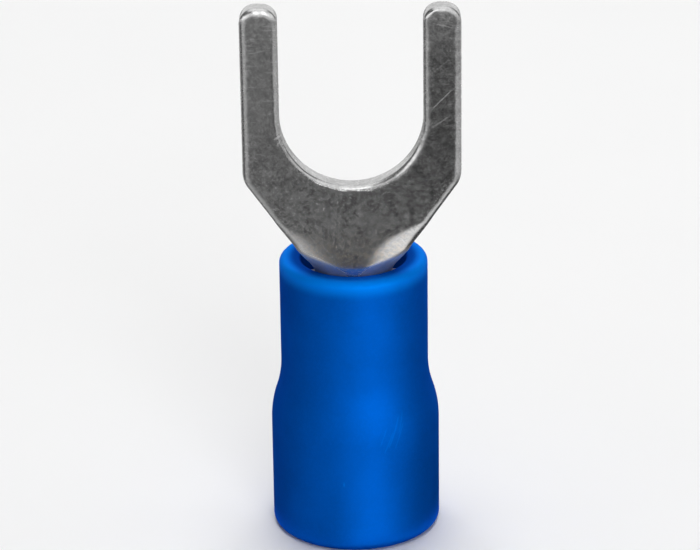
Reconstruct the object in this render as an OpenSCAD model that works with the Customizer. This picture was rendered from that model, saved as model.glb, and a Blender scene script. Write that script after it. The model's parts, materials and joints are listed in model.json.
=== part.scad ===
// Insulated fork terminal: a stamped and rolled fork contact, held in a flared plastic sleeve.
// It stands on the sleeve's wire entry. Z runs up the barrel's axis to the prong tips, X across
// the fork, and the tongue's seating face looks along -Y. All sizes are in millimetres.

/* [Fork] */
// Width of the slot that straddles the stud
slot_w = 5.3; // [3.2:0.1:6.4]
// Width of each prong
prong_w = 1.4; // [1:0.05:2]
// Thickness of the sheet that the contact is stamped from
sheet_t = 0.8; // [0.6:0.05:1]
// Distance from the bottom of the slot to the prong tips
prong_len = 6.95; // [5:0.05:10]
// Radius of the corners of each prong tip
tip_r = 0.58; // [0.2:0.02:0.64]
// Distance from the sleeve's rim to the bottom of the slot
tongue_len = 3.55; // [2.6:0.05:8]
// Height of the shoulders above the bottom of the slot
shoulder_rise = 0.25; // [-0.4:0.05:1.5]
// Radius that rounds the shoulders
shoulder_r = 1; // [0.2:0.1:2]
// Angle between the tapering sides and the axis
taper_angle = 35; // [28:1:50]

/* [Neck] */
// Half of the barrel's circumference, in degrees, that runs on into the neck
neck_wrap = 50; // [40:1:70]
// Length over which the neck's sides curl into the round barrel
curl_len = 1.2; // [0.9:0.05:1.6]
// Length over which the tongue's sides lean back before they curl
lean_len = 2.4; // [1.8:0.05:2.5]
// Radius to which the leaning sides are bent
lean_r = 6.5; // [4:0.1:12]
// Radius where the tapering sides run into the neck
neck_r = 0.6; // [0.2:0.05:1]
// Radius where the neck runs into the barrel's top edge
notch_r = 0.3; // [0.1:0.05:0.4]

/* [Barrel] */
// Bore of the rolled wire barrel
wire_bore = 2.4; // [1.6:0.1:3]
// Length of the rolled barrel
barrel_len = 3.9; // [3:0.05:6]
// How far the barrel's top edge falls from the neck to the seam
seam_drop = 0.6; // [0.2:0.05:1.5]
// Gap left between the rolled edges at the seam
seam_gap = 0.08; // [0.04:0.01:0.2]
// Chamfer at the wire end of the barrel
barrel_chamfer = 0.25; // [0.1:0.05:0.4]

/* [Sleeve] */
// Length of the sleeve
sleeve_len = 11; // [9:0.1:16]
// Wall of the sleeve
sleeve_wall = 0.8; // [0.6:0.05:1.2]
// Bore of the sleeve where the wire's insulation goes in
entry_bore = 4.86; // [4.4:0.02:6]
// Length of the flare between the grip and the wire entry
flare_len = 2.5; // [1.6:0.1:3.4]
// Distance that the outer flare starts above the barrel's wire end
flare_lead = 0.35; // [0:0.05:1]
// Clearance around the barrel inside the sleeve
sleeve_fit = 0.02; // [0.01:0.01:0.1]
// Depth of the rolled barrel below the rim
rim_cover = 0.65; // [0.3:0.05:1]
// Radius of the rim's outer edge
rim_r = 0.25; // [0.1:0.05:0.35]
// Chamfer of the rim's inner edge
rim_lead = 0.1; // [0.05:0.05:0.2]
// Radius of the foot's outer edge
foot_r = 0.3; // [0.1:0.05:0.35]
// Chamfer of the wire entry
entry_chamfer = 0.2; // [0.05:0.05:0.25]

/* [Hidden] */

$fn = 96;
// Overshoot of cutting tools past the faces that they open
cut = 1;
// Excess of a rounding arc, so that it crosses the sides that it rounds
hair = 0.0002;
// Steps of the curling neck along its height and across its width
neck_rows = 24;
neck_columns = 40;
// The neck's skin lies this far inside the sheet's, and its ends run this far into the flat
// tongue and the barrel, so that the three make one solid
neck_inset = 0.02;
neck_sink = 0.12;

// Barrel section
bore_r = wire_bore / 2;
barrel_r = bore_r + sheet_t;
roll_r = bore_r + sheet_t / 2;

// Heights from the wire entry up
barrel_top = sleeve_len - rim_cover;
barrel_low = barrel_top - barrel_len;
curl_low = sleeve_len - rim_lead;
curl_top = curl_low + curl_len;
lean_top = curl_low + lean_len;
slot_low = sleeve_len + tongue_len;
shoulder_z = slot_low + shoulder_rise;
tip_z = slot_low + prong_len;

// Half widths of the flat blank
slot_r = slot_w / 2;
fork_x = slot_r + prong_w;
neck_x = roll_r * neck_wrap * PI / 180;
slot_z = slot_low + slot_r;
neck_z = shoulder_z - (fork_x - neck_x) / tan(taper_angle);
// Ends of the arc that rounds the corner between the tapering side and the neck
bend_low = neck_z - neck_r * tan(taper_angle / 2);
bend_high = neck_z + neck_r * tan(taper_angle / 2) * cos(taper_angle);
// The tip's corners keep a sliver of flat between them
tip_corner_r = min(tip_r, prong_w / 2 - 0.05);

// Sleeve radii
grip_bore_r = barrel_r + sleeve_fit;
grip_r = grip_bore_r + sleeve_wall;
entry_bore_r = entry_bore / 2;
entry_r = entry_bore_r + sleeve_wall;

// Unit vector at an angle in the plane of an outline
function heading(angle) = [cos(angle), sin(angle)];

// What an arc takes off a corner of an outline, for sides that leave the corner at two headings
// less than half a turn apart
module corner_cut(corner, side_a, side_b, radius) {
    half = (side_b - side_a) / 2;
    bisector = heading(side_a + half);
    centre = corner + radius / sin(half) * bisector;
    reach = 2 * radius;
    difference() {
        polygon([centre, centre + reach * heading(side_a - 90), corner - radius / sin(half) * bisector,
                 centre + reach * heading(side_b + 90)]);
        translate(centre) circle(radius + hair);
    }
}

// One half of the tongue's blank, from the neck to the prong tip, without the slot
module half_blank() {
    difference() {
        polygon([[0, 0], [neck_x, 0], [neck_x, bend_low], [neck_x + neck_r, bend_low],
                 [neck_x + (bend_high - neck_z) * tan(taper_angle), bend_high],
                 [fork_x, shoulder_z], [fork_x, tip_z], [0, tip_z]]);
        translate([neck_x + neck_r, bend_low]) circle(neck_r + hair);
        corner_cut([fork_x, shoulder_z], 90, 270 - taper_angle, shoulder_r);
        corner_cut([fork_x, tip_z], 180, 270, tip_corner_r);
        corner_cut([slot_r, tip_z], -90, 0, tip_corner_r);
    }
}

// Slot for the stud, open between the prong tips
module slot_outline() {
    translate([0, slot_z]) circle(slot_r);
    translate([-slot_r, slot_z]) square([slot_w, prong_len + cut]);
}

// Flat fork above the leaning sides, seen from the front
module fork_outline() {
    difference() {
        union() {
            half_blank();
            mirror([1, 0]) half_blank();
        }
        slot_outline();
        translate([-fork_x - cut, -cut]) square([2 * (fork_x + cut), lean_top + cut]);
    }
}

module fork_plate() {
    translate([0, -bore_r, 0]) rotate([90, 0, 0]) linear_extrude(sheet_t) fork_outline();
}

// Half width of the blank where the tapering side runs through its radius into the neck
function taper_half(z) =
    z >= bend_high ? neck_x + (z - neck_z) * tan(taper_angle) :
    z > bend_low ? neck_x + neck_r - sqrt(neck_r ^ 2 - (z - bend_low) ^ 2) : neck_x;

// Half width where the neck runs into the barrel's top edge
function notch_half(z) =
    let (rise = max(0, min(z - barrel_top, notch_r)))
    neck_x + notch_r - sqrt(notch_r ^ 2 - (notch_r - rise) ^ 2);

function blank_half(z) = max(taper_half(z), notch_half(z));

// Half widths at a height of the wedge that stays flat, and of the leaning part that holds it:
// past that the sheet curls to the barrel's radius
function flat_half(z) = blank_half(lean_top) * (max(0, z - curl_low) / lean_len) ^ 2.5;
function lean_half(z) = max(flat_half(z), blank_half(curl_top) * (max(0, z - curl_low) / curl_len) ^ 1.5);

// Point of the sheet at a distance along its bent middle, then out along its normal
function sheet_point(along, out, z) =
    let (reach = abs(along),
         flat = min(reach, flat_half(z)),
         leaning = min(reach, lean_half(z)) - flat,
         lean = leaning / lean_r * 180 / PI,
         turn = lean + (reach - flat - leaning) / roll_r * 180 / PI,
         x = flat + lean_r * sin(lean) + roll_r * (sin(turn) - sin(lean)) + out * sin(turn),
         y = lean_r * (1 - cos(lean)) + roll_r * (cos(lean) - cos(turn) - 1) - out * cos(turn))
    [sign(along) * x, y, z];

// Neck that carries the flat tongue round into the barrel: rows of points on the front of the
// sheet, then on its back, joined into a closed skin
module curled_neck() {
    heights = [barrel_top - neck_sink,
               for (i = [0:neck_rows]) barrel_top + (lean_top - barrel_top) * i / neck_rows,
               lean_top + neck_sink];
    skin = sheet_t / 2 - neck_inset;
    row = neck_columns + 1;
    last = len(heights) - 1;
    back = (last + 1) * row;
    points = [for (out = [skin, -skin], z = heights, j = [0:neck_columns])
        sheet_point((blank_half(z) - neck_inset) * (2 * j / neck_columns - 1), out, z)];
    low_left = [for (i = [0:last - 1], j = [0:neck_columns - 1]) i * row + j];
    front_faces = [for (a = low_left) each [[a, a + row, a + row + 1], [a, a + row + 1, a + 1]]];
    back_faces = [for (a = low_left)
        each [[back + a, back + a + row + 1, back + a + row], [back + a, back + a + 1, back + a + row + 1]]];
    edge_faces = [for (i = [0:last - 1])
        let (a = i * row, b = a + neck_columns)
        each [[a, back + a, back + a + row], [a, back + a + row, a + row],
              [b, b + row, back + b + row], [b, back + b + row, back + b]]];
    end_faces = [for (j = [0:neck_columns - 1])
        let (a = j, b = last * row + j)
        each [[a, a + 1, back + a + 1, back + a], [b, back + b, back + b + 1, b + 1]]];
    polyhedron(points, concat(front_faces, back_faces, edge_faces, end_faces));
}

// Rolled barrel, with its top edge falling to the seam at the back
module barrel() {
    fall = seam_drop / barrel_r;
    reach = barrel_r + cut;
    difference() {
        translate([0, 0, barrel_low]) cylinder(h = barrel_len, r = barrel_r);
        translate([0, 0, barrel_low - cut]) cylinder(h = barrel_len + 2 * cut, r = bore_r);
        translate([0, 0, barrel_low])
            cylinder(h = barrel_chamfer, r1 = bore_r + barrel_chamfer, r2 = bore_r);
        rotate([90, 0, 90]) translate([0, 0, -reach]) linear_extrude(2 * reach)
            polygon([[0, barrel_top], [reach, barrel_top - reach * fall],
                     [reach, barrel_top + cut], [0, barrel_top + cut]]);
        translate([-seam_gap / 2, 0, barrel_low - cut]) cube([seam_gap, reach, barrel_len + 2 * cut]);
    }
}

// Filled outline of a flared tube, half of it, from low to high; flare_top is where the grip
// radius starts to swell, and two equal arcs make the swell
module flared_outline(grip, entry, flare_top, low, high) {
    step = entry - grip;
    arc_r = (flare_len ^ 2 + step ^ 2) / (4 * step);
    flare_low = flare_top - flare_len;
    middle = grip + step / 2;
    translate([0, flare_top]) square([grip, high - flare_top]);
    difference() {
        translate([0, flare_low + flare_len / 2]) square([middle, flare_len / 2]);
        translate([grip + arc_r, flare_top]) circle(arc_r);
    }
    intersection() {
        translate([0, flare_low]) square([entry, flare_len / 2]);
        union() {
            translate([entry - arc_r, flare_low]) circle(arc_r);
            translate([entry - 3 * arc_r, flare_low]) square([2 * arc_r, flare_len]);
        }
    }
    translate([0, low]) square([entry, flare_low - low]);
}

module sleeve_profile() {
    difference() {
        flared_outline(grip_r, entry_r, barrel_low + flare_lead, 0, sleeve_len);
        flared_outline(grip_bore_r, entry_bore_r, barrel_low, -cut, sleeve_len + cut);
        corner_cut([grip_r, sleeve_len], 180, 270, rim_r);
        corner_cut([entry_r, 0], 90, 180, foot_r);
        polygon([[grip_bore_r, sleeve_len], [grip_bore_r + rim_lead, sleeve_len],
                 [grip_bore_r, sleeve_len - rim_lead]]);
        polygon([[entry_bore_r, 0], [entry_bore_r + entry_chamfer, 0], [entry_bore_r, entry_chamfer]]);
    }
}

// Stamped fork and rolled barrel, one piece of plated sheet
module fork_contact() {
    color([0.6, 0.61, 0.63]) {
        fork_plate();
        curled_neck();
        barrel();
    }
}

// Flared plastic sleeve pressed over the barrel
module insulating_sleeve() {
    color([0.01, 0.3, 0.72]) rotate_extrude() sleeve_profile();
}

fork_contact();
insulating_sleeve();
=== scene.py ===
"""Looks of an insulated fork terminal: a tinned sheet contact rolled into a blue plastic sleeve."""
import json
import math

import bpy
import numpy as np
from mathutils import Matrix, Vector
from mathutils.geometry import delaunay_2d_cdt


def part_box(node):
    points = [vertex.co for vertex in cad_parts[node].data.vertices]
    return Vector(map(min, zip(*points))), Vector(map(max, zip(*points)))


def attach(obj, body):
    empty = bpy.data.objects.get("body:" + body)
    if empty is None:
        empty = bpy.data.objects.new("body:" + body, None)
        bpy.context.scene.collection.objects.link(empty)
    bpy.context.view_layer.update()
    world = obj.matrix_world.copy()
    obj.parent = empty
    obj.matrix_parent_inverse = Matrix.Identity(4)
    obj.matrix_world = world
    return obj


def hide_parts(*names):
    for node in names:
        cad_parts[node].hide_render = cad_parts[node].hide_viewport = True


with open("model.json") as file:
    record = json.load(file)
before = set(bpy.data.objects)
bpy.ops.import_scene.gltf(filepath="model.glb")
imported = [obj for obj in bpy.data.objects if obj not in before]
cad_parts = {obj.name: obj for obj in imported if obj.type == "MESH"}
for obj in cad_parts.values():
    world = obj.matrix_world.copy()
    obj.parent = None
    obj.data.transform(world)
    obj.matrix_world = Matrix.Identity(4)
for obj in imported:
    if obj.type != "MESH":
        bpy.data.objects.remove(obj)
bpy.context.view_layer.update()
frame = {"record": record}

# Sizes are millimetres, and meshes are written in metres
MM = 0.001

# Degrees in a radian
DEGREES = 180 / math.pi

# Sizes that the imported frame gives
mounts = {mount["name"]: mount for mount in frame["record"]["mounts"]}
contact_low, contact_high = [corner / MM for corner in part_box("fork_contact")]
_, sleeve_high = [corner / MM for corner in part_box("insulating_sleeve")]
bore_r = mounts["wire_barrel"]["dims"]["r_mm"]
barrel_r = -contact_low.y
sheet_t = barrel_r - bore_r
roll_r = (barrel_r + bore_r) / 2
barrel_low = contact_low.z
fork_x = contact_high.x
tip_z = contact_high.z
slot_r = mounts["stud_slot"]["dims"]["r_mm"]
slot_z = mounts["stud_slot"]["pos_m"][2] / MM
slot_low = slot_z - slot_r
sleeve_top = sleeve_high.z
entry_r = sleeve_high.x
entry_bore_r = mounts["wire_entry"]["dims"]["r_mm"]

# Sizes of the contact's flat blank and of its curl. The powers say how fast the neck's wedges open upwards
tip_r = 0.58
shoulder_rise = 0.25
shoulder_r = 1.0
taper_angle = math.radians(35)
neck_wrap = math.radians(50)
neck_r = 0.6
notch_r = 0.3
curl_len = 1.2
curl_power = 1.5
lean_len = 2.4
lean_power = 2.5
lean_r = 6.5
rim_cover = 0.65
seam_drop = 0.6
seam_gap = 0.08
wing_corner_r = 0.45
wing_run_out = 0.75

# Sizes of the sheared edges: a wide die roll in front, a short burr edge behind
roll_over_w = 0.27
roll_over_d = 0.17
burr_r = 0.05
shear_taper = 0.015
face_lead = 0.03

# Waves along the die roll: share of its width, radians for each millimetre, and start in radians
edge_waves = [(0.06, 2.3, 0.0), (0.05, 5.9, 1.0), (0.04, 13.1, 2.0)]

# Shares by which the die rolled less over the right tip and over the left of the slot's round, and where
tip_lesser = 0.35
tip_lesser_below = (0.9, 0.4)
slot_lesser = 0.4
slot_lesser_across = (0.6, 0.1)
slot_lesser_up = (0.4, -0.4)
slot_lesser_soft = 0.1

# Sizes of the sleeve's walls, flares and edges
sleeve_wall = 0.8
sleeve_fit = 0.02
flare_len = 2.5
flare_lead = 0.35
rim_r = 0.25
rim_lead = 0.1
foot_r = 0.3
entry_chamfer = 0.2
entry_edge_r = 0.06

# Places that follow from the sizes
barrel_top = sleeve_top - rim_cover
curl_low = sleeve_top - rim_lead
curl_top = curl_low + curl_len
lean_top = curl_low + lean_len
neck_x = roll_r * neck_wrap
quarter_x = roll_r * math.pi / 2
seam_x = roll_r * math.pi - seam_gap / 2
shoulder_z = slot_low + shoulder_rise
neck_z = shoulder_z - (fork_x - neck_x) / math.tan(taper_angle)
curl_top_x = neck_x + (curl_top - neck_z) * math.tan(taper_angle)
lean_top_x = neck_x + (lean_top - neck_z) * math.tan(taper_angle)
grip_bore_r = barrel_r + sleeve_fit
grip_r = grip_bore_r + sleeve_wall

# Fineness of the meshes
edge_step = 0.1
arc_step = 0.06
arc_least_steps = 3
lattice_step = 0.17
neck_step = 0.06
lattice_clear = 0.6
wing_steps = 9
roll_over_steps = 8
burr_steps = 3
shear_shares = (0.33, 0.66)
flare_steps = 12
sleeve_turns = 192
weld_gap = 1e-6


class Wire:
    """A node's output that joins in Python sums, each of which adds a Math node."""

    def __init__(self, bench, socket):
        self.bench = bench
        self.socket = socket

    def __add__(self, other):
        return self.bench.math("ADD", self, other)

    def __radd__(self, other):
        return self.bench.math("ADD", other, self)

    def __sub__(self, other):
        return self.bench.math("SUBTRACT", self, other)

    def __rsub__(self, other):
        return self.bench.math("SUBTRACT", other, self)

    def __mul__(self, other):
        return self.bench.math("MULTIPLY", self, other)

    def __rmul__(self, other):
        return self.bench.math("MULTIPLY", other, self)

    def __truediv__(self, other):
        return self.bench.math("DIVIDE", self, other)

    def __rtruediv__(self, other):
        return self.bench.math("DIVIDE", other, self)

    def __neg__(self):
        return self.bench.math("MULTIPLY", self, -1.0)

    def __pow__(self, other):
        return self.bench.math("POWER", self, other)

    def __abs__(self):
        return self.bench.math("ABSOLUTE", self)

    def sin(self):
        return self.bench.math("SINE", self)

    def cos(self):
        return self.bench.math("COSINE", self)

    def least(self, other):
        return self.bench.math("MINIMUM", self, other)

    def most(self, other):
        return self.bench.math("MAXIMUM", self, other)

    def ease(self, start, end):
        """Goes smoothly from 0 at start to 1 at end, whichever is greater."""
        if start > end:
            return 1 - self.ease(end, start)
        return self.bench.node(
            "ShaderNodeMapRange",
            {"interpolation_type": "SMOOTHSTEP"},
            {"Value": self, "From Min": start, "From Max": end},
        )


class Bench:
    """Adds nodes to one tree."""

    def __init__(self, tree):
        self.tree = tree

    def node(self, kind, settings=None, sockets=None, out=0):
        """One node: its settings first, then the values or wires of its sockets. Gives one output."""
        made = self.tree.nodes.new(kind)
        for name, value in (settings or {}).items():
            setattr(made, name, value)
        for name, value in (sockets or {}).items():
            if isinstance(value, Wire):
                self.tree.links.new(value.socket, made.inputs[name])
            else:
                made.inputs[name].default_value = value
        if not made.outputs:
            return made
        return Wire(self, made.outputs[out])

    def math(self, operation, first, second=0.0):
        return self.node("ShaderNodeMath", {"operation": operation}, {0: first, 1: second})

    def blend(self, share, first, second):
        """A colour between two colours."""
        return self.node("ShaderNodeMix", {"data_type": "RGBA"}, {0: share, 6: first, 7: second}, out=2)

    def stretch(self, vector, scale, turn=(0.0, 0.0, 0.0)):
        """A place turned and scaled for a pattern."""
        return self.node("ShaderNodeMapping", None, {"Vector": vector, "Rotation": turn, "Scale": scale})

    def noise(self, vector, scale, detail=2.0, roughness=0.5):
        return self.node(
            "ShaderNodeTexNoise",
            None,
            {"Vector": vector, "Scale": scale, "Detail": detail, "Roughness": roughness},
        )

    def split(self, vector):
        """The x, y and z of a vector."""
        first = self.node("ShaderNodeSeparateXYZ", None, {"Vector": vector})
        return [Wire(self, socket) for socket in first.socket.node.outputs]

    def length(self, vector):
        return self.node("ShaderNodeVectorMath", {"operation": "LENGTH"}, {0: vector}, out="Value")

    def bump(self, height, strength, distance, under=None):
        """A relief, laid over another one where that is given."""
        sockets = {"Height": height, "Strength": strength, "Distance": distance}
        if under is not None:
            sockets["Normal"] = under
        return self.node("ShaderNodeBump", None, sockets)


def new_material(name):
    """An empty material and the bench for its nodes."""
    material = bpy.data.materials.new(name)
    material.use_nodes = True
    material.node_tree.nodes.clear()
    return material, Bench(material.node_tree)


def finish_material(bench, shader):
    """Ends a material with its shader."""
    bench.node("ShaderNodeOutputMaterial", None, {"Surface": shader})


def object_place(bench):
    """The place on an object in millimetres."""
    place = bench.node("ShaderNodeTexCoord", out="Object")
    return bench.stretch(place, (1 / MM, 1 / MM, 1 / MM))


def bearing_of(bench, across, away):
    """Radians round the terminal's axis, from the camera's side towards its right."""
    return bench.math("ARCTAN2", across, -away)


def toward(value, share, target):
    """A value moved part of the way to a target."""
    return value + share * (target - value)


def patches(value, marks):
    """Sum of soft-edged patches. Each has its level, then where every edge starts and where it is over."""
    total = 0.0
    for level, *edges in marks:
        share = level
        for start, end in edges:
            share = share * value.ease(start, end)
        total = total + share
    return total


def grey(level, warmth=0.0):
    """A grey, warmed by a share of its level."""
    return (level * (1 + warmth), level, level * (1 - warmth), 1.0)


# Lengths over which a scratch fades past both ends, within its start and within its end, and the share of its
# width that has its full strength
stroke_over = 0.05
stroke_in = 0.1
stroke_out = 0.15
stroke_core = 0.3


def stroke(across, up, start, end, half_w, strength):
    """A single scratch: its strength along the line between two points of a surface, and 0 off it."""
    start, end = Vector(start), Vector(end)
    way = (end - start).normalized()
    across, up = across - start.x, up - start.y
    off = abs(across * way.y - up * way.x)
    run = across * way.x + up * way.y
    length = (end - start).length
    ends = run.ease(-stroke_over, stroke_in) * run.ease(length + stroke_over, length - stroke_out)
    return strength * off.ease(half_w, stroke_core * half_w) * ends


def strokes(across, up, marks):
    """The strongest of several scratches."""
    strongest = stroke(across, up, *marks[0])
    for mark in marks[1:]:
        strongest = strongest.most(stroke(across, up, *mark))
    return strongest


# Scratches on the tin and a nick in the slot's edge: start and end on the blank, half width and strength
tin_scratches = [
    ((2.98, 17.6), (3.72, 18.35), 0.028, 0.62),
    ((2.95, 16.85), (3.6, 17.3), 0.026, 0.55),
    ((3.0, 20.9), (3.8, 20.7), 0.024, 0.45),
    ((3.05, 19.05), (3.6, 19.5), 0.024, 0.4),
    ((-3.75, 19.8), (-3.0, 19.95), 0.024, 0.4),
    ((-3.7, 20.35), (-3.1, 20.4), 0.022, 0.35),
    ((-2.85, 16.45), (-2.55, 16.65), 0.08, 0.75),
    ((-2.75, 16.2), (-2.62, 16.5), 0.06, 0.6),
]

# Greys of the tin: both ends of its mottle, scratches, burnished edges, painted shade on the taper's edges,
# stain, curl and painted shade down the neck's middle
tin_dull = grey(0.42)
tin_bright = grey(0.96)
tin_scratched = grey(0.97)
tin_burnished = grey(0.82)
tin_taper_shade = grey(0.42)
tin_stained = grey(0.66, 0.22)
tin_curled = grey(0.47, 0.02)
tin_middle_shade = grey(0.3, 0.05)

# How much each mark shows in the tin's colour
hairline_show = 0.3
scratch_show = 0.7
tick_show = 0.28
burnish_show = 0.5
stain_show = 0.35
curl_show = 0.6
middle_shade_show = 0.4
taper_shade_show = 0.8

# How much each mark takes from the tin's metallic look
hairline_loss = 0.1
scratch_loss = 0.4
tick_loss = 0.12
curl_loss = 0.18

# Evener tones of the mottle on the left prong, which is also painted lighter as painted light, and where the
# neck leans back, which has less relief and is painted darker as painted shade, most on its right
calm_share = 0.45
calm_lit_tone = 0.8
lean_share = 0.75
lean_shade_tone = 0.42
lean_shade_drop = 0.2
lean_relief_loss = 0.8

# Roughness of the bare tin, and what the mottle, the burnish and the curl add to it
tin_roughness = 0.17
mottle_roughness = 0.09
burnish_roughness = 0.05
curl_roughness = 0.08

# Distances from the sheared edge over which its burnish grows
burnish_edge = (0.36, 0.12)


def hairlines(bench, place, turn, stretch, scale, detail, soft):
    """Fine lines across the sheet at an angle, from noise that is drawn out one way."""
    turned = bench.stretch(place, (1.0, 1.0, 1.0), (0.0, turn, 0.0))
    return bench.noise(bench.stretch(turned, stretch), scale, detail).ease(*soft)


def past_wedge(along, height, length, top_x, power):
    """How far a place lies past the side of a wedge that opens upwards from the curl's foot."""
    rise = ((height - curl_low) / length).most(0.0)
    return abs(along) - top_x * rise ** power


def neck_zones(along, height):
    """Where the neck leans back, where it curls away, and the middle between its curls, with soft edges."""
    lean = past_wedge(along, height, lean_len, lean_top_x, lean_power).ease(-0.2, 0.4)
    lean = lean * height.ease(lean_top - 0.1, lean_top - 0.7)
    curl = past_wedge(along, height, curl_len, curl_top_x, curl_power).ease(-0.1, 0.25)
    curl = curl * height.ease(curl_top + 0.4, curl_top - 0.2)
    middle = abs(along + 0.1).ease(0.8, 0.1) * height.ease(curl_top + 0.1, curl_top - 0.8)
    return lean, curl, middle


def tinned_sheet():
    """Dull tin plating: mottled, finely scratched, burnished along the sheared edges, with painted light on
    the left prong and painted shade on the neck and the taper's edges.
    """
    material, bench = new_material("tinned_sheet")
    place = bench.node("ShaderNodeAttribute", {"attribute_name": "blank_place"}, out="Vector")
    edge_gap = bench.node("ShaderNodeAttribute", {"attribute_name": "edge_gap"}, out="Fac")
    along, _, height = bench.split(place)
    mottle = bench.noise(place, scale=5.2, detail=4.0, roughness=0.6)
    blotch = bench.noise(place, scale=1.9, detail=3.0, roughness=0.6)
    grain = bench.noise(place, scale=19.0, detail=3.0, roughness=0.6)
    # Fine lines that cross the sheet at two angles, and a few single scratches
    one_way = hairlines(
        bench, place, turn=0.7, stretch=(0.9, 1.0, 16.0), scale=1.6, detail=3.0, soft=(0.62, 0.72)
    )
    other_way = hairlines(
        bench, place, turn=-0.9, stretch=(0.7, 1.0, 22.0), scale=1.3, detail=2.0, soft=(0.62, 0.74)
    )
    hairline = one_way.most(other_way)
    scratch = strokes(along, height, tin_scratches)
    # Short ticks across the prongs beside their edges
    drawn = bench.stretch(place, (0.8, 1.0, 11.0))
    ticks = bench.noise(drawn, scale=1.4, detail=2.0, roughness=0.6).ease(0.56, 0.68)
    ticks = ticks * edge_gap.ease(0.75, 0.4) * height.ease(slot_z - 1.2, slot_z)
    # The left prong is the smoother one, and so is the plating where the neck leans back. The prong also has
    # painted light that makes it lighter, and the neck has painted shade that is darkest on its right
    lean, curl, middle = neck_zones(along, height)
    calm = along.ease(-2.2, -3.0) * height.ease(slot_z - 1.5, slot_z + 0.5)
    face = 0.35 * mottle + 0.3 * blotch + 0.35 * grain
    tone = toward(face.ease(0.35, 0.65), calm_share * calm, calm_lit_tone)
    tone = toward(tone, lean_share * lean, lean_shade_tone - lean_shade_drop * along.ease(-0.5, 1.0))
    colour = bench.blend(tone, tin_dull, tin_bright)
    fresh = (hairline_show * hairline).most(scratch_show * scratch).most(tick_show * ticks)
    colour = bench.blend(fresh, colour, tin_scratched)
    burnish = edge_gap.ease(*burnish_edge)
    colour = bench.blend(burnish_show * burnish, colour, tin_burnished)
    # Warm stain where the neck goes into the sleeve, dull curls, and painted shade down the middle above the
    # rim
    stain = height.ease(lean_top, sleeve_top + 0.4) * mottle.ease(0.42, 0.62)
    colour = bench.blend(stain_show * stain, colour, tin_stained)
    colour = bench.blend(curl_show * curl, colour, tin_curled)
    colour = bench.blend(middle_shade_show * middle, colour, tin_middle_shade)
    # Painted shade dims the highlight along the taper's edges
    taper_shade = burnish * height.ease(shoulder_z + 0.3, shoulder_z - 0.3)
    taper_shade = taper_shade * abs(along).ease(1.3, 1.8) * height.ease(curl_top - 0.3, curl_top + 0.3)
    colour = bench.blend(taper_shade_show * taper_shade, colour, tin_taper_shade)
    loss = (scratch_loss * scratch).most(tick_loss * ticks).most(hairline_loss * hairline)
    metallic = 1 - curl_loss * curl - loss
    roughness = tin_roughness + mottle_roughness * mottle + burnish_roughness * burnish
    roughness = roughness + curl_roughness * curl
    even = 1 - lean_relief_loss * lean
    relief = bench.bump((mottle - 0.5) * even, strength=0.12, distance=0.03 * MM)
    relief = bench.bump((grain - 0.5) * even, strength=0.08, distance=0.008 * MM, under=relief)
    relief = bench.bump(scratch.most(0.3 * ticks), strength=0.2, distance=0.006 * MM, under=relief)
    sockets = {"Base Color": colour, "Metallic": metallic, "Roughness": roughness, "Normal": relief}
    finish_material(bench, bench.node("ShaderNodeBsdfPrincipled", None, sockets))
    return material


# Fine streaks and a speck on the sleeve: start and end, round from the front and up, half width and strength
sleeve_marks = [
    ((1.3, 4.3), (1.85, 5.5), 0.045, 0.22),
    ((1.12, 4.1), (1.5, 4.9), 0.04, 0.2),
    ((1.55, 4.2), (2.0, 5.2), 0.035, 0.2),
    ((1.75, 4.8), (2.05, 5.6), 0.04, 0.18),
    ((0.95, 4.4), (1.25, 5.1), 0.035, 0.16),
    ((-0.46, 2.78), (-0.45, 3.0), 0.055, 0.42),
]

# Blues of the sleeve: both ends of its cloud, rubbed lines, grain, streaks, a painted highlight on the rim,
# painted shade on the rim's inside, and sheen
blue_deep = (0.0, 0.112, 0.55, 1.0)
blue_even = (0.0, 0.128, 0.62, 1.0)
blue_rubbed = (0.0, 0.17, 0.72, 1.0)
blue_grain = (0.0, 0.17, 0.75, 1.0)
blue_streak = (0.0, 0.3, 0.95, 1.0)
blue_rim_highlight = (0.0, 0.25, 0.95, 1.0)
blue_shade = (0.0, 0.06, 0.33, 1.0)
blue_sheen = (0.0, 0.3, 1.0, 1.0)

# How much each mark shows in the sleeve's colour
rub_show = 0.12
grain_show = 0.2
shade_show = 0.6

# Roughness of the sleeve, and what its grain and its rubbed lines add to it
sleeve_roughness = 0.6
grain_roughness = 0.08
rub_roughness = 0.06

# The sheen is as blue as the plastic, so most of it is metallic, less so at the rim, and the rest is tinted
sleeve_metallic = 0.86
rim_metallic_loss = 0.3
sleeve_gloss = 0.1


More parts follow.
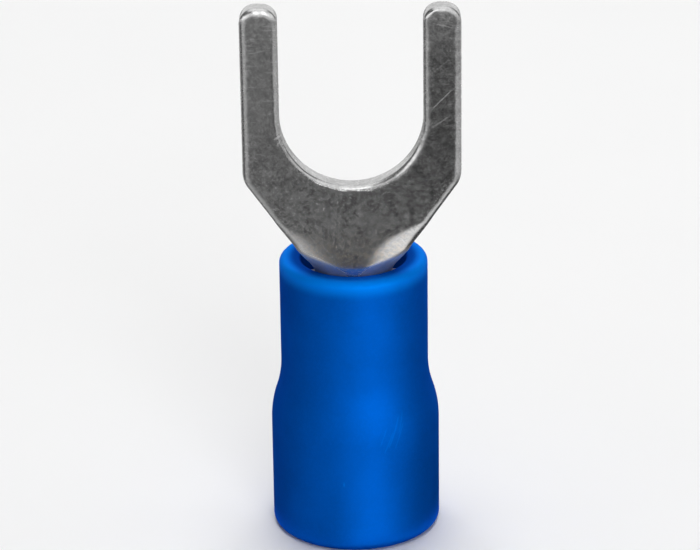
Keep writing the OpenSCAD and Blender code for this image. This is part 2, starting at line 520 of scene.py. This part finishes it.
def blue_sleeve():
    """Satin blue plastic with a faint grain and a few rubbed lines, a painted highlight on the rim's outer
    edge and painted shade inside the rim.
    """
    material, bench = new_material("blue_sleeve")
    place = object_place(bench)
    across, away, height = bench.split(place)
    cloud = bench.noise(place, scale=0.5, detail=2.0)
    grain = bench.noise(place, scale=9.0, detail=3.0, roughness=0.6)
    drawn = bench.stretch(place, (9.0, 9.0, 0.8), (0.35, 0.0, 0.0))
    rub = bench.noise(drawn, scale=1.4, detail=3.0, roughness=0.65).ease(0.6, 0.72)
    colour = bench.blend(cloud.ease(0.3, 0.7), blue_deep, blue_even)
    colour = bench.blend(rub_show * rub, colour, blue_rubbed)
    colour = bench.blend(grain_show * grain.ease(0.4, 0.65), colour, blue_grain)
    around = bearing_of(bench, across, away) * entry_r
    mark = strokes(around, height, sleeve_marks)
    colour = bench.blend(mark, colour, blue_streak)
    # A painted highlight along the rim's outer edge
    reach = bench.math("SQRT", across * across + away * away)
    rim_highlight = height.ease(sleeve_top - 0.75, sleeve_top - 0.15) * reach.ease(grip_r - 0.6, grip_r - 0.15)
    colour = bench.blend(rim_highlight, colour, blue_rim_highlight)
    shaded = reach.ease(grip_bore_r + 0.45, grip_bore_r + 0.15) * abs(across).ease(0.8, 1.7)
    colour = bench.blend(shade_show * shaded, colour, blue_shade)
    relief = bench.bump(grain, strength=0.15, distance=0.02 * MM)
    relief = bench.bump(rub.most(mark), strength=0.1, distance=0.01 * MM, under=relief)
    sockets = {
        "Base Color": colour,
        "Roughness": sleeve_roughness + grain_roughness * grain + rub_roughness * rub,
        "Normal": relief,
        "Metallic": sleeve_metallic - rim_metallic_loss * rim_highlight,
        "Specular IOR Level": sleeve_gloss,
        "Specular Tint": blue_sheen,
    }
    finish_material(bench, bench.node("ShaderNodeBsdfPrincipled", None, sockets))
    return material


def arc_points(corner, before, after, radius):
    """The arc that rounds a corner between two neighbours, as a list of points."""
    corner, before, after = (np.array(point, float) for point in (corner, before, after))
    to_before = (before - corner) / np.linalg.norm(before - corner)
    to_after = (after - corner) / np.linalg.norm(after - corner)
    half = math.acos(np.clip(to_before @ to_after, -1, 1)) / 2
    reach = radius / math.tan(half)
    bisector = (to_before + to_after) / np.linalg.norm(to_before + to_after)
    centre = corner + bisector * radius / math.sin(half)
    start = corner + to_before * reach - centre
    end = corner + to_after * reach - centre
    sweep = math.pi - 2 * half
    steps = max(arc_least_steps, math.ceil(radius * sweep / arc_step))
    shares = np.linspace(0, 1, steps + 1)
    weights = np.stack([np.sin((1 - shares) * sweep), np.sin(shares * sweep)], 1) / math.sin(sweep)
    return [centre + first * start + second * end for first, second in weights]


def rounded_path(corners):
    """Points along straight runs with rounded corners: each corner is x, z and its radius."""
    path = [np.array(corners[0][:2], float)]
    for before, (x, z, radius), after in zip(corners, corners[1:], corners[2:]):
        if radius:
            path += arc_points((x, z), before[:2], after[:2], radius)
        else:
            path.append(np.array((x, z), float))
    path.append(np.array(corners[-1][:2], float))
    fine = [path[0]]
    for start, end in zip(path, path[1:]):
        length = np.linalg.norm(end - start)
        if length < weld_gap:
            continue
        steps = math.ceil(length / edge_step)
        fine += [start + (end - start) * step / steps for step in range(1, steps + 1)]
    return np.array(fine)


def wing_top(along):
    """Height of the barrel's upper edge, which falls away towards the seam."""
    return barrel_top - seam_drop * max(0.0, -math.cos(along / roll_r))


def blank_outline():
    """The flat blank's outline, anticlockwise from the front: wings, neck, shoulders, prongs and slot."""
    slope = np.linspace(seam_x - wing_run_out, quarter_x, wing_steps + 1)[:-1]
    wing = [(along, wing_top(along), 0) for along in slope]
    corners = [
        (0, barrel_low, 0),
        (seam_x, barrel_low, wing_corner_r),
        (seam_x, wing_top(seam_x), wing_corner_r),
        *wing,
        (quarter_x, barrel_top, 0),
        (neck_x, barrel_top, notch_r),
        (neck_x, neck_z, neck_r),
        (fork_x, shoulder_z, shoulder_r),
        (fork_x, tip_z, tip_r),
        (slot_r, tip_z, tip_r),
        (slot_r, slot_low, slot_r),
        (0, slot_low, 0),
    ]
    right = rounded_path(corners)
    left = right[-2:0:-1] * (-1, 1)
    return np.concatenate([right, left])


def outward(loop):
    """Outward directions at the points of an anticlockwise loop."""
    run = np.roll(loop, -1, 0) - np.roll(loop, 1, 0)
    normal = np.stack([run[:, 1], -run[:, 0]], 1)
    return normal / np.linalg.norm(normal, axis=1)[:, None]


def inside(points, loop):
    """Which points lie inside a loop."""
    start, end = loop, np.roll(loop, -1, 0)
    x, z = points[:, None, 0], points[:, None, 1]
    crosses = (start[:, 1] > z) != (end[:, 1] > z)
    rise = np.where(end[:, 1] == start[:, 1], 1.0, end[:, 1] - start[:, 1])
    where = start[:, 0] + (z - start[:, 1]) * (end[:, 0] - start[:, 0]) / rise
    return (crosses & (x < where)).sum(1) % 2 == 1


def gap_to(points, loop):
    """Distance from each point to the nearest point of a loop."""
    return np.sqrt(((points[:, None] - loop[None]) ** 2).sum(2).min(1))


def lattice(loop, step, low_z, high_z):
    """Points of a triangular lattice inside a loop between two heights, clear of its edge."""
    half_x = abs(loop[:, 0]).max()
    row_step = step * math.sqrt(0.75)
    points = []
    for row, z in enumerate(np.arange(low_z + step / 2, high_z, row_step)):
        start = -half_x + (row % 2) * step / 2
        points += [(x, z) for x in np.arange(start, half_x, step)]
    points = np.array(points)
    points = points[inside(points, loop)]
    return points[gap_to(points, loop) > lattice_clear * step]


def sheet_lattice(loop):
    """Points over the sheet's face, close together where the neck curls."""
    return np.concatenate([
        lattice(loop, lattice_step, barrel_low, barrel_top),
        lattice(loop, neck_step, barrel_top, lean_top),
        lattice(loop, lattice_step, lean_top, tip_z),
    ])


def edge_section():
    """Inset and height above the middle of the sheet, round the sheared edge from front to back."""
    half = sheet_t / 2
    section = [(roll_over_w + face_lead, half)]
    for turn in np.radians(np.linspace(0, 90, roll_over_steps + 1)):
        section.append((roll_over_w * (1 - math.sin(turn)), half - roll_over_d * (1 - math.cos(turn))))
    for share in shear_shares:
        section.append((shear_taper * share, half - roll_over_d - share * (sheet_t - roll_over_d - burr_r)))
    for turn in np.radians(np.linspace(0, 90, burr_steps + 1)):
        section.append((shear_taper + burr_r * (1 - math.cos(turn)), -half + burr_r * (1 - math.sin(turn))))
    section.append((shear_taper + burr_r + face_lead, -half))
    return section


def ramp(values, start, end):
    """Goes evenly from 0 at start to 1 at end, whichever is greater."""
    return np.clip((values - start) / (end - start), 0, 1)


def edge_insets(loop):
    """Insets of the edge's rings, with the rolled front wandering a little along the outline."""
    run = np.concatenate([[0], np.cumsum(np.linalg.norm(np.diff(loop, axis=0), axis=1))])
    wander = sum(share * np.sin(rate * run + start) for share, rate, start in edge_waves)
    x, z = loop.T
    tip_start, tip_end = (tip_z - below for below in tip_lesser_below)
    lesser = tip_lesser * (x > 0) * ramp(z, tip_start, tip_end)
    slot_left = ramp(x, *slot_lesser_across) * ramp(x, -slot_r - slot_lesser_soft, -slot_r + slot_lesser_soft)
    slot_start, slot_end = (slot_z + up for up in slot_lesser_up)
    slot_left = slot_left * (z > slot_low - slot_lesser_soft) * ramp(z, slot_start, slot_end)
    lesser = lesser + slot_lesser * slot_left
    return [(inset, 1 + (wander - lesser) * (out > 0)) for inset, out in edge_section()]


def flat_blank():
    """The sheet before it is rolled, with rounded edges: x runs across, -y is the front, z is up."""
    loop = blank_outline()
    normal = outward(loop)
    rings = [loop - (inset * uneven)[:, None] * normal for inset, uneven in edge_insets(loop)]
    points = []
    faces = []
    for ring, (_, out) in zip(rings, edge_section()):
        points += [(x, -out, z) for x, z in ring]
    count = len(loop)
    for layer in range(len(rings) - 1):
        for step in range(count):
            after = (step + 1) % count
            faces.append((
                layer * count + step,
                (layer + 1) * count + step,
                (layer + 1) * count + after,
                layer * count + after,
            ))
    # Both faces are filled with triangles that lie inside their outer ring
    inside_only = 1
    last = len(rings) - 1
    for layer, out, flip in ((0, sheet_t / 2, False), (last, -sheet_t / 2, True)):
        ring = rings[layer]
        inner = sheet_lattice(ring)
        flat = [Vector(point) for point in np.concatenate([ring, inner])]
        edges = [(step, (step + 1) % count) for step in range(count)]
        _, _, cells, origin, _, _ = delaunay_2d_cdt(flat, edges, [], inside_only, weld_gap)
        first_inner = len(points) - count
        points += [(x, -out, z) for x, z in inner]
        for cell in cells:
            ids = [origin[corner][0] for corner in cell]
            ids = [layer * count + i if i < count else first_inner + i for i in ids]
            faces.append(tuple(reversed(ids)) if flip else tuple(ids))
    return np.array(points), faces, loop


def mesh_object(name, points, faces):
    """A smooth-shaded object from points in millimetres."""
    mesh = bpy.data.meshes.new(name)
    mesh.from_pydata((np.array(points) * MM).tolist(), [], [list(face) for face in faces])
    mesh.update()
    mesh.polygons.foreach_set("use_smooth", [True] * len(mesh.polygons))
    piece = bpy.data.objects.new(name, mesh)
    bpy.context.scene.collection.objects.link(piece)
    return piece


def rolling_tree():
    """Geometry nodes that roll the lower part of a flat blank into a barrel, with an easy curl above it."""
    tree = bpy.data.node_groups.new("roll_blank", "GeometryNodeTree")
    inputs = {}
    for name, kind in (
        ("Blank", "NodeSocketGeometry"),
        ("Curl foot", "NodeSocketFloat"),
        ("Curl length", "NodeSocketFloat"),
        ("Curl top half width", "NodeSocketFloat"),
        ("Lean length", "NodeSocketFloat"),
        ("Lean top half width", "NodeSocketFloat"),
        ("Lean radius", "NodeSocketFloat"),
        ("Roll radius", "NodeSocketFloat"),
        ("Finish", "NodeSocketMaterial"),
    ):
        inputs[name] = tree.interface.new_socket(name, in_out="INPUT", socket_type=kind).identifier
    tree.interface.new_socket("Contact", in_out="OUTPUT", socket_type="NodeSocketGeometry")
    bench = Bench(tree)
    start = bench.node("NodeGroupInput").socket.node
    given = {socket.name: Wire(bench, socket) for socket in start.outputs if socket.name}
    along, depth, height = bench.split(bench.node("GeometryNodeInputPosition"))
    # A wedge down the middle stays flat and opens upwards. Beside it the sheet leans back at a wide
    # radius, and past that it curls to the barrel's radius
    rise = (height - given["Curl foot"]).most(0.0)
    flat_half = given["Lean top half width"] * (rise / given["Lean length"]) ** lean_power
    lean_half = given["Curl top half width"] * (rise / given["Curl length"]) ** curl_power
    lean_half = lean_half.most(flat_half)
    reach = abs(along)
    flat = reach.least(flat_half)
    leaning = reach.least(lean_half) - flat
    lean = leaning / given["Lean radius"]
    turn = lean + (reach - flat - leaning) / given["Roll radius"]
    sway = given["Lean radius"] * lean.sin() + given["Roll radius"] * (turn.sin() - lean.sin())
    fall = given["Lean radius"] * (1 - lean.cos()) + given["Roll radius"] * (lean.cos() - turn.cos() - 1)
    x = bench.math("SIGN", along) * (flat + sway - depth * turn.sin())
    y = fall + depth * turn.cos()
    place = bench.node("ShaderNodeCombineXYZ", None, {"X": x, "Y": y, "Z": height})
    rolled = bench.node("GeometryNodeSetPosition", None, {"Geometry": given["Blank"], "Position": place})
    real = bench.node("GeometryNodeRealizeInstances", None, {"Geometry": rolled})
    finished = bench.node("GeometryNodeSetMaterial", None, {"Geometry": real, "Material": given["Finish"]})
    bench.node("NodeGroupOutput", {"is_active_output": True}, {"Contact": finished})
    return tree, inputs


def baked(piece):
    """Turns a piece's evaluated shape into its plain mesh."""
    depsgraph = bpy.context.evaluated_depsgraph_get()
    depsgraph.update()
    shape = bpy.data.meshes.new_from_object(piece.evaluated_get(depsgraph))
    piece.modifiers.clear()
    flat = piece.data
    piece.data = shape
    bpy.data.meshes.remove(flat)
    shape.name = piece.name


def rolled_contact(finish):
    """The fork contact: a stamped blank rolled into a barrel."""
    points, faces, loop = flat_blank()
    piece = mesh_object("fork_contact_sheet", points, faces)
    place = piece.data.attributes.new("blank_place", "FLOAT_VECTOR", "POINT")
    place.data.foreach_set("vector", points.astype(np.float32).ravel())
    gap = piece.data.attributes.new("edge_gap", "FLOAT", "POINT")
    gap.data.foreach_set("value", gap_to(points[:, ::2], loop).astype(np.float32))
    tree, inputs = rolling_tree()
    roll = piece.modifiers.new("roll", "NODES")
    roll.node_group = tree
    for name, size in (
        ("Curl foot", curl_low),
        ("Curl length", curl_len),
        ("Curl top half width", curl_top_x),
        ("Lean length", lean_len),
        ("Lean top half width", lean_top_x),
        ("Lean radius", lean_r),
        ("Roll radius", roll_r),
    ):
        roll[inputs[name]] = size * MM
    roll[inputs["Finish"]] = finish
    baked(piece)
    return piece


def flare(low_z, low_r, high_r):
    """Two equal arcs that lead from a wide radius up to a narrow one."""
    step = low_r - high_r
    arc_r = (flare_len ** 2 + step ** 2) / (4 * step)
    half = math.asin(flare_len / 2 / arc_r)
    turns = np.linspace(0, half, flare_steps + 1)
    high_z = low_z + flare_len
    lower = [(low_r - arc_r * (1 - math.cos(turn)), low_z + arc_r * math.sin(turn)) for turn in turns]
    upper = [(high_r + arc_r * (1 - math.cos(turn)), high_z - arc_r * math.sin(turn)) for turn in turns]
    return lower + upper[-2::-1]


def sleeve_profile():
    """The sleeve's closed half section as radius and height, anticlockwise from the foot."""
    bore_flare_z = barrel_low - flare_len
    wall_flare_z = bore_flare_z + flare_lead
    outside = flare(wall_flare_z, entry_r, grip_r)
    bore = flare(bore_flare_z, entry_bore_r, grip_bore_r)
    corners = [
        (entry_bore_r + entry_chamfer, 0, entry_edge_r),
        (entry_r, 0, foot_r),
        *[(r, z, 0) for r, z in outside],
        (grip_r, sleeve_top, rim_r),
        (grip_bore_r, sleeve_top, rim_lead),
        *[(r, z, 0) for r, z in reversed(bore)],
        (entry_bore_r, entry_chamfer, entry_edge_r),
    ]
    middle = ((corners[0][0] + corners[1][0]) / 2, 0, 0)
    path = rounded_path([middle, *corners[1:], corners[0], middle])
    return path[:-1]


def turned_sleeve(finish):
    """The insulating sleeve, turned from its half section."""
    profile = sleeve_profile()
    angles = np.arange(sleeve_turns) * 2 * math.pi / sleeve_turns
    radius = profile[None, :, 0]
    height = np.broadcast_to(profile[None, :, 1], (sleeve_turns, len(profile)))
    points = np.stack([radius * np.cos(angles)[:, None], radius * np.sin(angles)[:, None], height], 2)
    count = len(profile)
    faces = []
    for turn in range(sleeve_turns):
        beside = (turn + 1) % sleeve_turns
        for step in range(count):
            after = (step + 1) % count
            faces.append((
                turn * count + step,
                beside * count + step,
                beside * count + after,
                turn * count + after,
            ))
    piece = mesh_object("insulating_sleeve_shell", points.reshape(-1, 3), faces)
    piece.data.materials.append(finish)
    return piece


def build_object():
    """Makes both pieces and sets them in the frame."""
    contact = rolled_contact(tinned_sheet())
    sleeve = turned_sleeve(blue_sleeve())
    for piece, node, slot in (
        (contact, "fork_contact", "tinned_sheet"),
        (sleeve, "insulating_sleeve", "blue_sleeve"),
    ):
        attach(piece, "root")
        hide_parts(node)


# Camera that matches the photograph: angles in degrees, distances in millimetres
frame_px = (700, 550)
aim = Vector((0.0, 0.0, 10.0))
aim_px = (353.6, 279.4)
px_per_mm = 26.27
view_elevation = 23.01
view_azimuth = 0.19
view_roll = -0.77
view_distance = 130.2
sensor_w = 36.0
clip_near = 5.0


def direction(azimuth, elevation):
    """The way from the terminal at two angles in degrees. Azimuth 0 is in front, and 90 is on the right."""
    azimuth, elevation = math.radians(azimuth), math.radians(elevation)
    return Vector((
        math.sin(azimuth) * math.cos(elevation),
        -math.cos(azimuth) * math.cos(elevation),
        math.sin(elevation),
    ))


def place_camera():
    """The camera at the photograph's angle, with its frame shifted to the photograph's."""
    azimuth, roll = math.radians(view_azimuth), math.radians(view_roll)
    back = direction(view_azimuth, view_elevation)
    right = Vector((math.cos(azimuth), math.sin(azimuth), 0.0))
    up = back.cross(right)
    turned_right = math.cos(roll) * right + math.sin(roll) * up
    turned_up = math.cos(roll) * up - math.sin(roll) * right
    data = bpy.data.cameras.new("camera")
    data.sensor_fit = "HORIZONTAL"
    data.sensor_width = sensor_w
    data.lens = px_per_mm * view_distance * sensor_w / frame_px[0]
    data.clip_start = clip_near * MM
    data.shift_x = (frame_px[0] / 2 - aim_px[0]) / frame_px[0]
    data.shift_y = (aim_px[1] - frame_px[1] / 2) / frame_px[0]
    camera = bpy.data.objects.new("camera", data)
    turn = Matrix((turned_right, turned_up, back)).transposed().to_4x4()
    camera.matrix_world = Matrix.Translation((aim + back * view_distance) * MM) @ turn
    bpy.context.scene.collection.objects.link(camera)
    bpy.context.scene.camera = camera


# Soft lamps: azimuth and elevation in degrees, distance, width and height in millimetres, and level
lamps = {
    "key_right": (16, 20, 260, 110, 200, 3.4),
    "front_top": (12, 66, 260, 90, 90, 2.0),
    "back": (180, 58, 280, 220, 120, 4.0),
    "overhead": (180, 82, 260, 200, 160, 3.8),
}


def soft_box(name, azimuth, elevation, distance, width, height, level):
    """A soft lamp that faces the terminal. Reflections show the cards and the world instead of it."""
    away = direction(azimuth, elevation)
    data = bpy.data.lights.new(name, "AREA")
    data.shape = "RECTANGLE"
    data.size = width * MM
    data.size_y = height * MM
    data.energy = level * math.pi * data.size * data.size_y
    lamp = bpy.data.objects.new(name, data)
    lamp.location = (aim + away * distance) * MM
    lamp.rotation_euler = away.to_track_quat("Z", "Y").to_euler()
    lamp.visible_glossy = False
    bpy.context.scene.collection.objects.link(lamp)


def ray_kinds(bench):
    """Whether a ray comes from the camera, from a reflection or through the object."""
    path = bench.node("ShaderNodeLightPath").socket.node.outputs
    return [Wire(bench, path[name]) for name in ("Is Camera Ray", "Is Glossy Ray", "Is Transmission Ray")]


# The floor: half its width, and the level and distances at which it turns into a plain pale backdrop
floor_half = 900
backdrop_level = 0.92
backdrop_edge = (50.0, 115.0)


def pale_floor():
    """A plain pale floor that keeps its paleness beyond the lamps' reach."""
    corners = [(-1, -1), (1, -1), (1, 1), (-1, 1)]
    floor = mesh_object("floor", [(x * floor_half, y * floor_half, 0) for x, y in corners], [(0, 1, 2, 3)])
    material, bench = new_material("pale_floor")
    place = object_place(bench)
    colour = bench.blend(bench.noise(place, scale=0.06), grey(0.88), grey(0.91))
    lit = bench.node("ShaderNodeBsdfPrincipled", None, {"Base Color": colour, "Roughness": 0.8})
    glow = bench.node("ShaderNodeEmission", None, {"Strength": backdrop_level})
    camera, glossy, through = ray_kinds(bench)
    share = camera.most(glossy).most(through) * bench.length(place).ease(*backdrop_edge)
    finish_material(bench, bench.node("ShaderNodeMixShader", None, {0: share, 1: lit, 2: glow}))
    floor.data.materials.append(material)


def reflection_card(name, points, faces, tone_of):
    """A glowing card that only reflections show. A function gives the tone over it."""
    card = mesh_object(name, points, faces)
    material, bench = new_material(name)
    finish_material(bench, bench.node("ShaderNodeEmission", None, {"Strength": tone_of(bench)}))
    card.data.materials.append(material)
    card.visible_camera = False
    card.visible_diffuse = False
    card.visible_shadow = False
    card.visible_transmission = False


# The dark card round the foot: its radii, height and sides, and its bare tone, which falls towards the right
card_radii = (3.6, 220.0)
card_z = 0.3
card_sides = 64
card_tone = 0.1
card_tone_slope = 0.012
card_tone_least = 0.03
card_tone_most = 0.145

# Distances from the axis over which the card's near part and its foot begin
near_edge = (26.0, 20.0)
foot_edge = (12.0, 7.0)

# Patches of light on the card's far part, near part and foot, and a dip of the far part's bare tone. Each
# patch has its level, then its soft edges in degrees from the camera's side towards the right
far_patches = [
    (0.22, (-80, -100)),
    (0.22, (-9, -26), (-62, -46)),
    (0.42, (13, 25)),
    (-0.05, (40, 60)),
]
near_patches = [
    (0.07, (-80, -100)),
    (0.5, (-13, -36), (-85, -64)),
    (1.1, (5, 14), (66, 42)),
    (0.14, (70, 92)),
]
foot_patches = [
    (0.07, (-80, -100)),
    (0.25, (-13, -36), (-85, -64)),
    (0.85, (-22, 4), (46, 22)),
]
far_dips = [(0.65, (-46, -62), (-98, -84))]


def shade_tone(bench):
    """Tone over the dark card, with its own patches in each of the card's three parts."""
    place = object_place(bench)
    across, away, _ = bench.split(place)
    bearing = bearing_of(bench, across, away) * DEGREES
    reach = bench.length(place)
    near = reach.ease(*near_edge)
    foot = reach.ease(*foot_edge)
    bare = (card_tone - card_tone_slope * across).most(card_tone_least).least(card_tone_most)
    bare = bare * (1 - (1 - near) * patches(bearing, far_dips))
    far_glow = (1 - near) * patches(bearing, far_patches)
    near_glow = near * (1 - foot) * patches(bearing, near_patches)
    foot_glow = foot * patches(bearing, foot_patches)
    return bare + far_glow + near_glow + foot_glow


def shade_card():
    """A dark ring on the floor that gives the tin and the sleeve their dark and bright sides."""
    angles = np.linspace(0, 2 * math.pi, card_sides + 1)[:-1]
    points = [(r * math.cos(a), r * math.sin(a), card_z) for a in angles for r in card_radii]
    count = len(points)
    faces = [(i, i + 1, (i + 3) % count, (i + 2) % count) for i in range(0, count, 2)]
    reflection_card("shade_card", points, faces, shade_tone)


# The card in front of the fork: its radius, degrees round from the camera's side, heights and steps
flag_r = 18.0
flag_bearings = (-15, 80)
flag_heights = (14.8, 40.0)
flag_steps = 19

# Its tone: a dark foot, a grey middle, and a paler top that is palest on the left
flag_foot_tone = 0.06
flag_middle_gain = 0.5
flag_middle_edge = (15.5, 19.0)
flag_top_gain = 0.25
flag_top_edge = (22.5, 25.0)
flag_left_gain = 1.1
flag_left_edge = (12.0, 4.0)


def flag_tone(bench):
    """Tone over the card in front of the fork."""
    across, away, height = bench.split(object_place(bench))
    bearing = bearing_of(bench, across, away) * DEGREES
    top = flag_top_gain + flag_left_gain * bearing.ease(*flag_left_edge)
    tone = flag_foot_tone + flag_middle_gain * height.ease(*flag_middle_edge)
    return tone + top * height.ease(*flag_top_edge)


def flag_card():
    """A curved grey card that tones down what the fork's rolled edges mirror."""
    bearings = np.radians(np.linspace(*flag_bearings, flag_steps + 1))
    points = [(flag_r * math.sin(b), -flag_r * math.cos(b), z) for b in bearings for z in flag_heights]
    faces = [(i, i + 2, i + 3, i + 1) for i in range(0, len(points) - 2, 2)]
    reflection_card("flag_card", points, faces, flag_tone)


# The world: its light, what the camera sees added to it, and what reflections see added to it. The windows
# in front have edges in degrees, and the other edges are shares of a direction's length
world_level = 0.1
camera_gain = 0.75
window_patches = [
    (6.5, (-10, 6), (64, 38)),
    (1.2, (-8, -20), (-80, -50)),
]
window_top_edge = (0.42, 0.18)
sky_gain = 0.8
sky_edge = (0.7, 0.9)
back_wall_gain = 0.62
back_wall_edge = (0.45, 0.8)


def pale_world():
    """Dim even light. The camera sees a pale backdrop, and reflections see windows, a sky and a back wall."""
    world = bpy.data.worlds.new("studio")
    bpy.context.scene.world = world
    world.use_nodes = True
    world.node_tree.nodes.clear()
    bench = Bench(world.node_tree)
    camera, glossy, through = ray_kinds(bench)
    across, away, up = bench.split(bench.node("ShaderNodeTexCoord", out="Generated"))
    bearing = bearing_of(bench, across, away) * DEGREES
    windows = patches(bearing, window_patches) * up.ease(*window_top_edge)
    sky = sky_gain * up.ease(*sky_edge)
    back_wall = back_wall_gain * away.ease(*back_wall_edge)
    strength = world_level + camera_gain * camera.most(through) + glossy * (windows + sky + back_wall)
    light = bench.node("ShaderNodeBackground", None, {"Color": grey(1.0), "Strength": strength})
    bench.node("ShaderNodeOutputWorld", None, {"Surface": light})


def light_scene():
    """The world, the floor, the cards and the lamps."""
    pale_world()
    pale_floor()
    shade_card()
    flag_card()
    for name, setting in lamps.items():
        soft_box(name, *setting)


build_object()
place_camera()
light_scene()
bpy.context.scene.view_settings.view_transform = "Standard"
